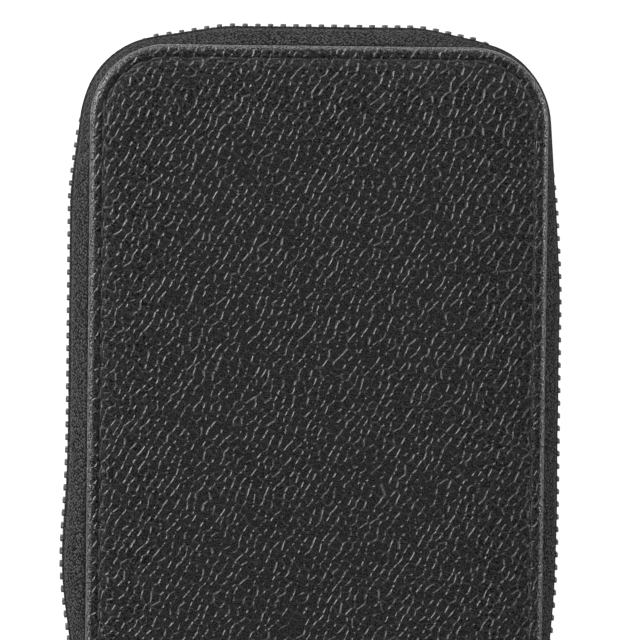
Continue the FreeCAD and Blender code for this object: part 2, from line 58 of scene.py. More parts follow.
# Places taken from the CAD model
panel_low, panel_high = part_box("front_leather")
tape_low, tape_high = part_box("back_zip_tape")
teeth_low, teeth_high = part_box("back_zip_teeth")
spine_low, spine_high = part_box("spine_leather")
margin_low, margin_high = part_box("back_spine_margin")
spine_cloth_low, spine_cloth_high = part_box("spine_lining")
pocket_low, pocket_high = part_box("slip_pocket")
binding_low, binding_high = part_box("pocket_binding")
HALF_WIDTH = panel_high.x
HALF_LENGTH = panel_high.y
DEPTH = panel_high.z
COVER_THICKNESS = panel_high.z - panel_low.z
MIDDLE = DEPTH / 2
TAPE_FOOT = tape_low.y
TAPE_EDGE = tape_high.z
TAPE_BULGE = tape_high.x - HALF_WIDTH
TOOTH_HEIGHT = teeth_high.x - tape_high.x
TOOTH_FOOT = teeth_low.z
TOOTH_HEAD = teeth_high.z
CHAIN_END = teeth_low.y
TOOTH_TOPS = {"back": TOOTH_HEIGHT * 0.5, "front": TOOTH_HEIGHT}
LINING_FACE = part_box("back_lining")[1].z

# Cover panels
TOP_CORNER = 9.5 * MM
SPINE_CORNER = 2.5 * MM
OUTLINE_SPACING = 0.5 * MM
SEAM_INSET = 1.7 * MM
STITCH_PITCH = 2.5 * MM
STITCH_LENGTH = 2.0 * MM
STITCH_WIDTH = 0.38 * MM
FINE_STITCH_WIDTH = 0.36 * MM
STITCH_SUNK = 0.7 * MM
STITCH_SECTIONS = 7
STITCH_TIP = 0.08
STITCH_FLATNESS = 0.36
BAR_SIDES = 12
HOLE_DEPTH = 0.1 * MM
HOLE_REACH = 0.45 * MM
HOLE_SHARPNESS = 5
FACE_END = 1.0 * MM
FACE_SWELL = 0.05 * MM
FACE_SWELL_RATE = 90.0

# Zip
TOOTH_PITCH = 1.6 * MM
TAPE_TUCK = 0.6 * MM
TAPE_THICKNESS = 0.6 * MM
TAPE_SPACING = 0.8 * MM
TAPE_ROWS = 24
TAPE_CLEARANCE = 0.05 * MM
TAPE_TURN_IN = 1.6 * MM
TAPE_RISE = 5.0 * MM
TAPE_RIPPLE = 0.06 * MM
RIPPLE_RATE = 120.0
RIPPLE_SHIFT = 500.0
RIPPLE_ROW = 4
INNER_ROW_STEP = 3
CORD_HEIGHT = 0.25 * MM
CORD_PLACE = TOOTH_FOOT - 0.55 * MM
CORD_REACH = 0.3 * MM
LEAN_START = TOOTH_FOOT - 0.4 * MM
LEAN_REACH = 0.8 * MM
LIP_LENGTH = 3.0 * MM
LIP_RADIUS = 1.6 * MM
FOOT_REACH = 6 * MM
LEAST_ARC_STEPS = 4
TOOTH_SQUARENESS = 0.8
TOOTH_ROOT = -0.1 * MM
CHAIN_OFFSET = {"back": 0, "front": 0.5}
CHAIN_THREAD_LINES = (0.8 * MM, 1.7 * MM)
CHAIN_THREAD_STEPS = 4
CHAIN_THREAD_HALVES = (0.17 * MM, 0.11 * MM)
CHAIN_THREAD_OVER = 0.7
CHAIN_THREAD_BETWEEN = 0.1

# Both covers: the height of the outer face and the direction towards the inside
COVERS = {"back": (0.0, 1), "front": (DEPTH, -1)}

# The cover's corners, anticlockwise: signs of x and y, radius, start of the arc
CORNERS = [
    (1, 1, TOP_CORNER, 0.0),
    (-1, 1, TOP_CORNER, 0.5 * math.pi),
    (-1, -1, SPINE_CORNER, math.pi),
    (1, -1, SPINE_CORNER, 1.5 * math.pi),
]


# Small helpers

def smooth_step(value):
    """Rise from 0 to 1 without corners."""
    t = min(max(value, 0.0), 1.0)
    return t * t * (3 - 2 * t)


def bell(value):
    """A bump of height 1 round zero."""
    return math.exp(-value * value)


def ring_faces(rings, first=0, caps=False):
    """Faces between rings with equally many points, which are numbered on from first."""
    count = len(rings[0])
    last = first + (len(rings) - 1) * count
    faces = []
    for row in range(first, last, count):
        for k in range(count):
            after = (k + 1) % count
            faces.append((row + k, row + after, row + count + after, row + count + k))
    if caps:
        faces.append(tuple(range(first, first + count))[::-1])
        faces.append(tuple(range(last, last + count)))
    return faces


def loft(name, rings, material, caps=False, uv=None):
    """A smooth mesh through rings with equally many points, with a cloth map if uv gives one per point."""
    points = [point for ring in rings for point in ring]
    return mesh_piece(name, points, ring_faces(rings, caps=caps), material, uv)


def mesh_piece(name, points, faces, material, uv=None):
    """A smooth mesh object with one material, with doubled points merged and its faces turned outwards."""
    mesh = bpy.data.meshes.new(name)
    mesh.from_pydata(points, [], faces)
    if uv:
        layer = mesh.uv_layers.new(name="cloth")
        for loop in mesh.loops:
            layer.data[loop.index].uv = uv[loop.vertex_index]
    shape = bmesh.new()
    shape.from_mesh(mesh)
    bmesh.ops.remove_doubles(shape, verts=shape.verts, dist=MERGE_DISTANCE)
    bmesh.ops.recalc_face_normals(shape, faces=shape.faces)
    shape.to_mesh(mesh)
    shape.free()
    mesh.shade_smooth()
    mesh.materials.append(material)
    piece = bpy.data.objects.new(name, mesh)
    bpy.context.scene.collection.objects.link(piece)
    return piece


def settle(piece, body, slot, *nodes):
    """Let a piece ride on a body, in place of the CAD nodes that it stands for."""
    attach(piece, body)
    if nodes:
        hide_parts(*nodes)
    return piece


def lengths_along(points, closed=False):
    """Length of the line up to each of its points, and its whole length."""
    reached = [0.0]
    for before, after in zip(points, points[1:]):
        reached.append(reached[-1] + (after - before).length)
    whole = reached[-1] + ((points[0] - points[-1]).length if closed else 0.0)
    return reached, whole


def walk(points, marks, closed=False):
    """Point and direction at each length along a line. The marks rise."""
    line = points + points[:1] if closed else points
    reached = lengths_along(line)[0]
    found = []
    k = 0
    for mark in marks:
        while k < len(line) - 2 and reached[k + 1] < mark:
            k += 1
        step = line[k + 1] - line[k]
        share = (mark - reached[k]) / max(step.length, 1e-9)
        found.append((line[k] + step * share, step.normalized()))
    return found


# Materials

def node(tree, kind, inputs=None, **settings):
    """A shader node with its settings, and its inputs given as numbers or as other nodes' outputs."""
    made = tree.nodes.new(kind)
    for key, value in settings.items():
        setattr(made, key, value)
    for key, value in (inputs or {}).items():
        socket = made.inputs[key]
        if isinstance(value, bpy.types.NodeSocket):
            tree.links.new(value, socket)
        else:
            socket.default_value = value
    return made


def math_node(tree, operation, first, second=0.0):
    """The result of one sum."""
    return node(tree, "ShaderNodeMath", {0: first, 1: second}, operation=operation).outputs[0]


def vector_node(tree, operation, inputs, output="Vector"):
    """The result of one sum of vectors."""
    return node(tree, "ShaderNodeVectorMath", inputs, operation=operation).outputs[output]


def mapped(tree, place, **settings):
    """Coordinates that are turned or scaled."""
    return node(tree, "ShaderNodeMapping", {"Vector": place, **settings}).outputs[0]


def axis_of(tree, vector, axis):
    """One axis of a vector."""
    return node(tree, "ShaderNodeSeparateXYZ", {0: vector}).outputs[axis]


def ramp(tree, value, low, high, to_low=0.0, to_high=1.0):
    """A value moved smoothly from one range to another."""
    inputs = {"Value": value, "From Min": low, "From Max": high, "To Min": to_low, "To Max": to_high}
    return node(tree, "ShaderNodeMapRange", inputs, interpolation_type="SMOOTHSTEP").outputs["Result"]


def speckle(tree, place, scale, detail, roughness=0.5):
    """Noise from 0 to 1."""
    inputs = {"Vector": place, "Scale": scale, "Detail": detail, "Roughness": roughness}
    return node(tree, "ShaderNodeTexNoise", inputs).outputs["Fac"]


def bands(tree, place, direction, scale, distortion=0.0):
    """Parallel waves from 0 to 1."""
    inputs = {"Vector": place, "Scale": scale, "Distortion": distortion}
    made = node(tree, "ShaderNodeTexWave", inputs, wave_type="BANDS", bands_direction=direction)
    return made.outputs["Fac"]


def new_material(name, **surface):
    """A material with one surface shader, whose plain values are set on its own sockets."""
    material = bpy.data.materials.new(name)
    material.use_nodes = True
    tree = material.node_tree
    shader = tree.nodes["Principled BSDF"]
    for key, value in surface.items():
        shader.inputs[key.replace("_", " ")].default_value = value
    return material, tree, shader


def millimetres(tree, standing=False):
    """The surface's own coordinates in millimetres, turned down for a surface that stands up."""
    place = node(tree, "ShaderNodeTexCoord").outputs["Object"]
    scaled = vector_node(tree, "SCALE", {0: place, "Scale": 1 / MM})
    tilt = math.pi / 2 if standing else 0.0
    return mapped(tree, scaled, Rotation=(tilt, 0, 0))


def cloth_map(tree):
    """The length along a strip and the place across it, in millimetres."""
    return node(tree, "ShaderNodeUVMap", uv_map="cloth").outputs["UV"]


def tint(tree, shader, value, dark, light):
    """Colour the surface between two shades."""
    mixed = node(tree, "ShaderNodeMix", {"Factor": value, "A": dark, "B": light}, data_type="RGBA")
    tree.links.new(mixed.outputs["Result"], shader.inputs["Base Color"])


def raise_surface(tree, shader, height, depth):
    """Turn a height from 0 to 1 into bumps of that depth."""
    bump = node(tree, "ShaderNodeBump", {"Height": height, "Distance": depth, "Strength": 1.0})
    tree.links.new(bump.outputs["Normal"], shader.inputs["Normal"])


def grey(level):
    """A neutral colour."""
    return (level, level, level * 1.03, 1.0)


# The leather's grain: its sizes in millimetres, and the width of its creases as a share of a cell
GRAIN_ANGLE = math.radians(60)
GRAIN_LENGTH = 1.25
GRAIN_WIDTH = 1.02
GRAIN_RANDOMNESS = 0.6
GRAIN_DRIFT = 1.5
GRAIN_DRIFT_RATE = 0.3
CREASE_WIDTH = 0.19
CREASE_DEPTH = 0.09
CREASE_POLISH = 0.74

# Where the creases are deep: those that lie along the slant, and then where a noise does not break them
ALONG_SLANT = (0.5, 0.9)
OFF_SLANT_DEPTH = 0.34
BREAK_RATE = 1.95
BREAK_RANGE = (0.42, 0.54)
BREAK_DEPTH = 0.12

# Pores all over the leather
PORE_RATE = 6.0
PORE_ROUGHNESS = 0.65
PORE_HEIGHT = 0.6
PORE_RANGE = (0.38, 0.62)
PORE_TINT = 0.55

# The depths in millimetres under the cover's outer face between which the rolled edge becomes polished
ROLL_START = 0.60
ROLL_END = 0.74
ROLL_POLISH = 0.9


def leather_material(name, standing=False):
    """Black leather: a slanting grain of pillows between polished creases with a painted highlight, and a
    polished roll.
    """
    material, tree, shader = new_material(name, Roughness=0.34)
    place = millimetres(tree, standing)
    drift = node(tree, "ShaderNodeTexNoise", {"Vector": place, "Scale": GRAIN_DRIFT_RATE, "Detail": 1.0})
    shift = vector_node(tree, "SCALE", {0: drift.outputs["Color"], "Scale": GRAIN_DRIFT})
    moved = vector_node(tree, "ADD", {0: place, 1: shift})
    turned = mapped(tree, moved, Rotation=(0, 0, -GRAIN_ANGLE))
    slant = mapped(tree, turned, Scale=(1 / GRAIN_LENGTH, 1 / GRAIN_WIDTH, 1))
    lattice = {"Vector": slant, "Scale": 1.0, "Randomness": GRAIN_RANDOMNESS}
    edges, nearest, second = [
        node(tree, "ShaderNodeTexVoronoi", lattice, feature=feature, voronoi_dimensions="2D")
        for feature in ("DISTANCE_TO_EDGE", "F1", "F2")
    ]
    pillow = ramp(tree, edges.outputs["Distance"], 0.0, CREASE_WIDTH)
    apart = vector_node(tree, "SUBTRACT", {0: second.outputs["Position"], 1: nearest.outputs["Position"]})
    facing = vector_node(tree, "NORMALIZE", {0: apart})
    across = math_node(tree, "ABSOLUTE", axis_of(tree, facing, "Y"))
    steep = ramp(tree, across, *ALONG_SLANT, OFF_SLANT_DEPTH, 1.0)
    broken = ramp(tree, speckle(tree, place, BREAK_RATE, 1.0), *BREAK_RANGE, BREAK_DEPTH, 1.0)
    depth = math_node(tree, "MULTIPLY", steep, broken)
    crease = math_node(tree, "MULTIPLY", math_node(tree, "SUBTRACT", 1.0, pillow), depth)
    pores = speckle(tree, place, PORE_RATE, 2.0, roughness=PORE_ROUGHNESS)
    fine = math_node(tree, "MULTIPLY", pores, PORE_HEIGHT)
    raise_surface(tree, shader, math_node(tree, "SUBTRACT", fine, crease), CREASE_DEPTH * MM)
    mottle = ramp(tree, pores, *PORE_RANGE)
    # The creases are painted lighter: a painted highlight in the colour, over the pores' own mottled tone
    lightened = math_node(tree, "MAXIMUM", math_node(tree, "MULTIPLY", mottle, PORE_TINT), crease)
    tint(tree, shader, lightened, grey(0.002), grey(0.066))
    height = axis_of(tree, place, "Z")
    face = MIDDLE / MM
    from_middle = math_node(tree, "ABSOLUTE", math_node(tree, "SUBTRACT", height, face))
    roll = ramp(tree, from_middle, face - ROLL_END, face - ROLL_START, ROLL_POLISH, 0.0)
    polish = math_node(tree, "MULTIPLY", crease, CREASE_POLISH)
    shine = math_node(tree, "MAXIMUM", polish, math_node(tree, "MULTIPLY", mottle, roll))
    tree.links.new(shine, shader.inputs["Specular IOR Level"])
    return material


# The zip tape: its yarns per millimetre along and across, and the bands of its painted shade and painted
# highlight, in millimetres from the cover
WEAVE_LEAN = math.radians(35)
WEAVE_RATE = (2.6, 4.4, 1)
WEAVE_RANDOMNESS = 0.8
WEAVE_DEPTH = 0.09 * MM
YARN_EDGE = 0.7
YARN_SHADE = 0.65
YARN_VARIETY = 0.7
FUZZ_RATE = 5.0
FUZZ_HEIGHT = 0.6
TUCK_PAINTED_SHADE_BAND = (0.4, 1.3)
TUCK_PAINTED_SHADE = 0.4
CORD_PAINTED_HIGHLIGHT_BAND = (3.2, 4.0)
CORD_PAINTED_HIGHLIGHT = 0.35
COIL_PAINTED_SHADE_BAND = (4.5, 5.0)
COIL_PAINTED_SHADE = 0.5


def tape_material(name):
    """Ribbed zip tape weave: painted shade where tucked in and under the coil, a painted highlight on its
    cord.
    """
    material, tree, shader = new_material(name, Roughness=0.75, Specular_IOR_Level=0.0)
    place = cloth_map(tree)
    leaning = mapped(tree, place, Rotation=(0, 0, WEAVE_LEAN))
    floats = mapped(tree, leaning, Scale=WEAVE_RATE)
    lattice = {"Vector": floats, "Scale": 1.0, "Randomness": WEAVE_RANDOMNESS}
    yarns = node(tree, "ShaderNodeTexVoronoi", lattice, voronoi_dimensions="2D")
    bulge = ramp(tree, yarns.outputs["Distance"], 0.0, YARN_EDGE, 1.0, 0.0)
    lot = axis_of(tree, yarns.outputs["Color"], "X")
    fuzz = math_node(tree, "MULTIPLY", speckle(tree, place, FUZZ_RATE, 3.0), FUZZ_HEIGHT)
    height = math_node(tree, "ADD", bulge, fuzz)
    raise_surface(tree, shader, height, WEAVE_DEPTH)
    varied = math_node(tree, "ADD", math_node(tree, "MULTIPLY", lot, YARN_VARIETY), YARN_SHADE)
    shade = math_node(tree, "MULTIPLY", height, varied)
    from_cover = axis_of(tree, place, "Y")
    # Painted shade where the tape is tucked under the cover's edge and where it runs under the coil
    tucked = ramp(tree, from_cover, *TUCK_PAINTED_SHADE_BAND, TUCK_PAINTED_SHADE, 1.0)
    painted_shade = math_node(tree, "MULTIPLY", tucked, ramp(tree, from_cover, *COIL_PAINTED_SHADE_BAND, 1.0, COIL_PAINTED_SHADE))
    # A painted highlight along the cord beside the teeth
    cord = math_node(tree, "MULTIPLY", ramp(tree, from_cover, *CORD_PAINTED_HIGHLIGHT_BAND), CORD_PAINTED_HIGHLIGHT)
    light = math_node(tree, "MULTIPLY", painted_shade, math_node(tree, "ADD", cord, 1.0))
    shaded = math_node(tree, "MULTIPLY", shade, light)
    tint(tree, shader, ramp(tree, shaded, 0.1, 2.0), grey(0.007), grey(0.092))
    return material


def cloth_material(name, standing=False):
    """Plain woven lining cloth."""
    material, tree, shader = new_material(name, Roughness=0.85, Sheen_Weight=0.2)
    place = millimetres(tree, standing)
    warp = bands(tree, place, "X", 0.64, 0.5)
    weft = bands(tree, place, "Y", 0.64, 0.5)
    weave = math_node(tree, "MULTIPLY", warp, weft)
    raise_surface(tree, shader, weave, 0.06 * MM)
    faint = math_node(tree, "MULTIPLY", speckle(tree, place, 0.15, 4.0), 0.4)
    shade = math_node(tree, "ADD", math_node(tree, "MULTIPLY", weave, 0.6), faint)
    tint(tree, shader, ramp(tree, shade, 0.1, 0.8), grey(0.02), grey(0.06))
    return material


def elastic_material(name):
    """Ribbed elastic webbing."""
    material, tree, shader = new_material(name, Roughness=0.7, Sheen_Weight=0.3)
    place = cloth_map(tree)
    low_picks = math_node(tree, "MULTIPLY", bands(tree, place, "X", 0.75, 0.3), 0.4)
    height = math_node(tree, "ADD", bands(tree, place, "Y", 0.4), low_picks)
    raise_surface(tree, shader, height, 0.14 * MM)
    tint(tree, shader, ramp(tree, height, 0.0, 1.4), grey(0.012), grey(0.045))
    return material


def thread_material(name):
    """Twisted sewing thread."""
    material, tree, shader = new_material(name, Roughness=0.5)
    twist = bands(tree, millimetres(tree), "DIAGONAL", 1.6, 0.6)
    raise_surface(tree, shader, twist, 0.05 * MM)
    tint(tree, shader, twist, grey(0.008), grey(0.03))
    return material


def nylon_material(name):
    """Slightly glossy black nylon of the coil."""
    material, tree, shader = new_material(name)
    scuff = speckle(tree, millimetres(tree), 1.2, 4.0)
    tree.links.new(ramp(tree, scuff, 0.3, 0.7, 0.3, 0.5), shader.inputs["Roughness"])
    tint(tree, shader, scuff, grey(0.008), grey(0.022))
    return material


def enamel_material(name):
    """Black enamelled metal, worn thin along its edges."""
    material, tree, shader = new_material(name, Metallic=0.35)
    speck = speckle(tree, millimetres(tree), 1.4, 5.0)
    edge = node(tree, "ShaderNodeBevel", {"Radius": 0.25 * MM})
    surface = node(tree, "ShaderNodeNewGeometry").outputs["Normal"]
    bent = vector_node(tree, "DOT_PRODUCT", {0: edge.outputs["Normal"], 1: surface}, "Value")
    corner = math_node(tree, "SUBTRACT", 1.0, bent)
    lightened = ramp(tree, math_node(tree, "MULTIPLY", corner, speck), 0.04, 0.16)
    tint(tree, shader, lightened, grey(0.012), grey(0.16))
    tree.links.new(ramp(tree, speck, 0.3, 0.75, 0.22, 0.42), shader.inputs["Roughness"])
    raise_surface(tree, shader, speck, 0.02 * MM)
    return material


def board_material(name):
    """Grey pressed board."""
    material, tree, shader = new_material(name, Roughness=0.9)
    fibre = speckle(tree, millimetres(tree), 0.8, 5.0)
    raise_surface(tree, shader, fibre, 0.08 * MM)
    tint(tree, shader, fibre, (0.16, 0.14, 0.12, 1), (0.3, 0.27, 0.23, 1))
    return material


LEATHER = leather_material("grained_leather")
SPINE_HIDE = leather_material("spine_leather", standing=True)
TAPE = tape_material("zip_tape_weave")
LINING = cloth_material("lining_cloth")
STANDING_CLOTH = cloth_material("spine_lining_cloth", standing=True)
ELASTIC = elastic_material("ribbed_elastic")
THREAD = thread_material("black_thread")
NYLON = nylon_material("coil_nylon")
ENAMEL = enamel_material("black_enamel")
BOARD = board_material("pressed_board")


# Cover leather

def corner_point(corner, turn, inset):
    """A point on one of the cover's corners, moved inwards. Turn goes from 0 to 1 round the corner."""
    sign_x, sign_y, radius, start = corner
    reach = max(radius, inset)
    left = max(radius - inset, 0.0)
    angle = start + turn * math.pi / 2
    x = sign_x * (HALF_WIDTH - reach) + left * math.cos(angle)
    y = sign_y * (HALF_LENGTH - reach) + left * math.sin(angle)
    return Vector((x, y, 0))


def cover_ring(inset):
    """The cover's outline moved inwards, always with the same number of points."""
    ring = []
    for before, corner in zip(CORNERS[-1:] + CORNERS[:-1], CORNERS):
        edge = corner_point(corner, 0, 0) - corner_point(before, 1, 0)
        steps = int(edge.length / OUTLINE_SPACING)
        start = corner_point(before, 1, inset)
        end = corner_point(corner, 0, inset)
        ring += [start.lerp(end, k / steps) for k in range(1, steps)]
        turns = int(corner[2] * math.pi / 2 / OUTLINE_SPACING)
        ring += [corner_point(corner, k / turns, inset) for k in range(turns + 1)]
    return ring


# The cover's section in millimetres, as (inset, depth under the outer face): padded face, sewn groove,
# rolled edge and turned-in edge, and then the hollow for the board
COVER_SECTION = [
    (28.5, 0.0), (24.0, 0.0), (18.0, 0.0), (13.0, 0.0), (10.0, 0.01), (8.0, 0.03), (6.5, 0.06),
    (5.2, 0.10), (4.2, 0.15), (3.5, 0.20), (3.0, 0.25), (2.6, 0.31), (2.3, 0.37), (2.05, 0.46),
    (1.85, 0.58), (1.7, 0.73), (1.55, 0.70), (1.4, 0.58),
    (1.2, 0.55), (0.95, 0.57), (0.75, 0.61), (0.55, 0.68), (0.38, 0.77), (0.24, 0.88), (0.12, 1.03),
    (0.04, 1.22), (0.0, 1.5), (0.0, 2.4), (0.05, 2.9), (0.2, 3.25), (0.5, 3.5), (1.0, 3.6),
    (7.1, 3.6), (7.1, 3.1), (1.1, 3.1), (1.1, 1.1), (28.5, 1.1),
]

# The middle of the seam on a cover, the lengths along it, and the number of stitches that fit round it
SEAM_LINE = cover_ring(SEAM_INSET)
SEAM_REACHED, SEAM_WHOLE = lengths_along(SEAM_LINE, closed=True)
SEAM_STITCHES = round(SEAM_WHOLE / STITCH_PITCH)


def build_cover(side):
    """Leather of one cover: a padded face, a puckered seam and a rolled edge."""
    outer, inwards = COVERS[side]
    rings = []
    for inset_mm, depth_mm in COVER_SECTION:
        ring = cover_ring(inset_mm * MM)
        for point, along in zip(ring, SEAM_REACHED):
            turn = 2 * math.pi * SEAM_STITCHES * along / SEAM_WHOLE
            hole = (0.5 + 0.5 * math.cos(turn)) ** HOLE_SHARPNESS
            dip = HOLE_DEPTH * hole * bell((inset_mm * MM - SEAM_INSET) / HOLE_REACH)
            swell = FACE_SWELL * noise.noise(Vector((point.x, point.y, outer)) * FACE_SWELL_RATE)
            face_share = 1.0 if depth_mm * MM < FACE_END else 0.0
            point.z = outer + inwards * (depth_mm * MM + (dip + abs(swell)) * face_share)
        rings.append(ring)
    cover = loft(f"{side}_cover_leather", rings, LEATHER)
    return settle(cover, f"{side}_cover", "leather", f"{side}_leather", f"{side}_padding")


def add_bar(points, faces, sections):
    """Add a closed rounded bar through sections with equally many points."""
    faces.extend(ring_faces(sections, first=len(points), caps=True))
    for section in sections:
        points.extend(section)


def rounded_section(centre, across, up, half_width, half_height, square=0.0):
    """Points round a bar, from an ellipse at square 0 to nearly a rectangle at square 1."""
    ring = []
    for k in range(BAR_SIDES):
        angle = 2 * math.pi / BAR_SIDES * (k + 0.5)
        x = math.cos(angle)
        y = math.sin(angle)
        swell = 1 + square * (1 / max(abs(x), abs(y)) - 1)
        ring.append(centre + across * (half_width * x * swell) + up * (half_height * y * swell))
    return ring


def build_stitches(name, places, up, body, slot="leather", width=STITCH_WIDTH):
    """Stitches of thread that dive in at both ends. Places hold a point and a direction."""
    points = []
    faces = []
    for centre, along in places:
        across = up.cross(along)
        sections = []
        for k in range(STITCH_SECTIONS):
            share = 2 * k / (STITCH_SECTIONS - 1) - 1
            girth = width * math.sqrt(max(1 - abs(share) ** 3, STITCH_TIP))
            sunk = -0.5 * width * share ** 4
            middle = centre + along * (share * STITCH_LENGTH / 2) + up * sunk
            sections.append(rounded_section(middle, across, up, girth / 2, girth * STITCH_FLATNESS))
        add_bar(points, faces, sections)
    piece = mesh_piece(name, points, faces, THREAD)
    return settle(piece, body, slot)


def across_side(side, height):
    """A height measured from a cover's outer face, in the frame."""
    outer, inwards = COVERS[side]
    return outer + inwards * height


def seam_places(height):
    """Place and direction of each stitch round a cover, at a height in the frame."""
    marks = [SEAM_WHOLE * (k + 0.5) / SEAM_STITCHES for k in range(SEAM_STITCHES)]
    return [(point + Vector((0, 0, height)), along) for point, along in walk(SEAM_LINE, marks, closed=True)]


def stitch_row(length):
    """Even places of the stitches along a straight seam, from its middle."""
    count = int(length / STITCH_PITCH)
    return [(k - (count - 1) / 2) * STITCH_PITCH for k in range(count)]


def build_cover_seam(side):
    """The stitches in the groove of one cover."""
    places = seam_places(across_side(side, STITCH_SUNK))
    up = Vector((0, 0, -COVERS[side][1]))
    return build_stitches(f"{side}_cover_stitches", places, up, f"{side}_cover")


# Zip tape and coil

class TapeStation:
    """A place along the cover's edge, with the way out of the case and how far the zip bows out there."""

    def __init__(self, point, out):
        self.point = point
        self.out = out
        self.bulge = 0.0
        self.sunk = 0.0
        self.rise = 1.0

    def at(self, outset, height):
        """The point that far out of the case, at a height."""
        place = self.point + self.out * outset
        return Vector((place.x, place.y, height))


def edge_route():
    """Points and outward directions from the right-hand end of the tape round to the left-hand end."""
    route = [(Vector((HALF_WIDTH - LIP_LENGTH, TAPE_FOOT, 0)), Vector((0, -1, 0)))]

    def add_arc(centre, radius, start):
        steps = max(int(radius * math.pi / 2 / TAPE_SPACING), LEAST_ARC_STEPS)
        for k in range(steps + 1):
            angle = start + k / steps * math.pi / 2
            out = Vector((math.cos(angle), math.sin(angle), 0))
            route.append((centre + out * radius, out))

    def add_straight(end, out):
        start = route[-1][0]
        steps = int((end - start).length / TAPE_SPACING)
        for k in range(1, steps):
            route.append((start.lerp(end, k / steps), out))

    lip_centre = Vector((HALF_WIDTH - LIP_RADIUS, TAPE_FOOT + LIP_RADIUS, 0))
    top_centre = Vector((HALF_WIDTH - TOP_CORNER, HALF_LENGTH - TOP_CORNER, 0))
    mirror = Vector((-1, 1, 1))
    add_arc(lip_centre, LIP_RADIUS, -math.pi / 2)
    add_straight(Vector((HALF_WIDTH, top_centre.y, 0)), Vector((1, 0, 0)))
    add_arc(top_centre, TOP_CORNER, 0)
    add_straight(Vector((-top_centre.x, HALF_LENGTH, 0)), Vector((0, 1, 0)))
    add_arc(top_centre * mirror, TOP_CORNER, math.pi / 2)
    add_straight(Vector((-HALF_WIDTH, lip_centre.y, 0)), Vector((-1, 0, 0)))
    add_arc(lip_centre * mirror, LIP_RADIUS, math.pi)
    route.append((Vector((LIP_LENGTH - HALF_WIDTH, TAPE_FOOT, 0)), Vector((0, -1, 0))))
    return route


# How the zip is drawn in at the top corners: its share of the bulge there, how far the chain sinks behind
# the tape, and where both start and how far they take to end, along the zipped end and along the side
CORNER_BULGE = {"right": 0.22, "left": 0.36}
CORNER_START = {"right": {"end": 5 * MM, "side": 0.0}, "left": {"end": 6 * MM, "side": 4 * MM}}
CORNER_REACH = {"right": {"end": 9 * MM, "side": 28 * MM}, "left": {"end": 9.5 * MM, "side": 12.7 * MM}}
CORNER_NEARNESS = 0.06
CORNER_SINK = 1.0 * MM
SINK_START = 2 * MM
SINK_REACH = {"right": {"end": 4.5 * MM, "side": 16 * MM}, "left": {"end": 4.5 * MM, "side": 7 * MM}}

# A pinch and a swell along the sides
PINCH_PLACE = 1 * MM
PINCH_REACH = 9 * MM
PINCH = 0.8 * MM
LEFT_SWELL_PLACE = 14 * MM
LEFT_SWELL = 0.7 * MM


def tape_stations():
    """The route with its bulge: drawn in at the corners and the foot, and softly waved along the sides."""
    stations = [TapeStation(point, out) for point, out in edge_route()]
    reached, whole = lengths_along([station.point for station in stations])
    marks = corner_marks(stations, reached)
    for station, along in zip(stations, reached):
        from_corner = min(abs(along - mark) for mark in marks)
        hand = "left" if station.point.x < 0 else "right"
        edge = "end" if abs(station.out.y) > abs(station.out.x) else "side"
        share = min(max((from_corner - CORNER_START[hand][edge]) / CORNER_REACH[hand][edge], 0.0), 1.0)
        grown = (share + smooth_step(share)) / 2
        drawn = CORNER_BULGE[hand] + (1 - CORNER_BULGE[hand]) * grown
        foot = smooth_step((min(along, whole - along) - LIP_LENGTH) / FOOT_REACH)
        y = station.point.y
        side_share = abs(station.out.x) ** 4
        wave = -PINCH * bell((y - PINCH_PLACE) / PINCH_REACH) * side_share
        if hand == "left":
            wave += LEFT_SWELL * bell((y - LEFT_SWELL_PLACE) / PINCH_REACH) * side_share
        station.bulge = (TAPE_BULGE * drawn + wave) * foot
        station.sunk = CORNER_SINK * (1 - smooth_step((from_corner - SINK_START) / SINK_REACH[hand][edge]))
        station.rise = foot
    return stations


def corner_marks(stations, reached):
    """Lengths along the route at the middle of each top corner."""
    marks = []
    for station, along in zip(stations, reached):
        diagonal = abs(abs(station.out.x) - math.sqrt(0.5)) < CORNER_NEARNESS
        if diagonal and station.point.y > HALF_LENGTH - TOP_CORNER:
            marks.append(along)
    return marks


STATIONS = tape_stations()


def wall_outset(station, height):
    """How far the tape's outer face stands out at a height above the cover's outer face."""
    rise = math.sin(math.pi / 2 * min(max((height - COVER_THICKNESS) / TAPE_RISE, 0.0), 1.0))
    cord = CORD_HEIGHT * bell((height - CORD_PLACE) / CORD_REACH)
    leaning = station.sunk * smooth_step((height - LEAN_START) / LEAN_REACH)
    tucked = TAPE_TUCK * station.rise
    return -tucked + (station.bulge + tucked) * rise + cord * station.rise - leaning


def build_tape(side):
    """Half of the zip tape, from under the cover's edge to the chain, with a cord beside the teeth."""
    low = COVER_THICKNESS + TAPE_CLEARANCE
    heights = [low + (TAPE_EDGE - low) * k / TAPE_ROWS for k in range(TAPE_ROWS + 1)]
    rings = []
    uv = []
    along = lengths_along([station.point for station in STATIONS])[0]
    for station, length in zip(STATIONS, along):
        place = Vector((length * RIPPLE_RATE, COVERS[side][0] * RIPPLE_SHIFT, 0))
        ripple = TAPE_RIPPLE * noise.noise(place)
        outside = [(wall_outset(station, h) + ripple * (h > heights[RIPPLE_ROW]), h) for h in heights]
        inside = [(outset - TAPE_THICKNESS, height) for outset, height in outside[::-INNER_ROW_STEP]]
        turned_in = outside[0][0] - TAPE_TURN_IN
        tucked = [(turned_in, low + TAPE_THICKNESS), (turned_in, low)]
        section = outside + inside + tucked
        rings.append([station.at(outset, across_side(side, height)) for outset, height in section])
        uv += [(length / MM, k * (TAPE_EDGE - low) / TAPE_ROWS / MM) for k in range(len(section))]
    tape = loft(f"{side}_tape", rings, TAPE, caps=True, uv=uv)
    return settle(tape, f"{side}_cover", "zip_tape", f"{side}_zip_tape")


def chain_line():
    """The line on the tapes' outer faces that the chain follows."""
    return [station.at(station.bulge - station.sunk, 0.0) for station in STATIONS]


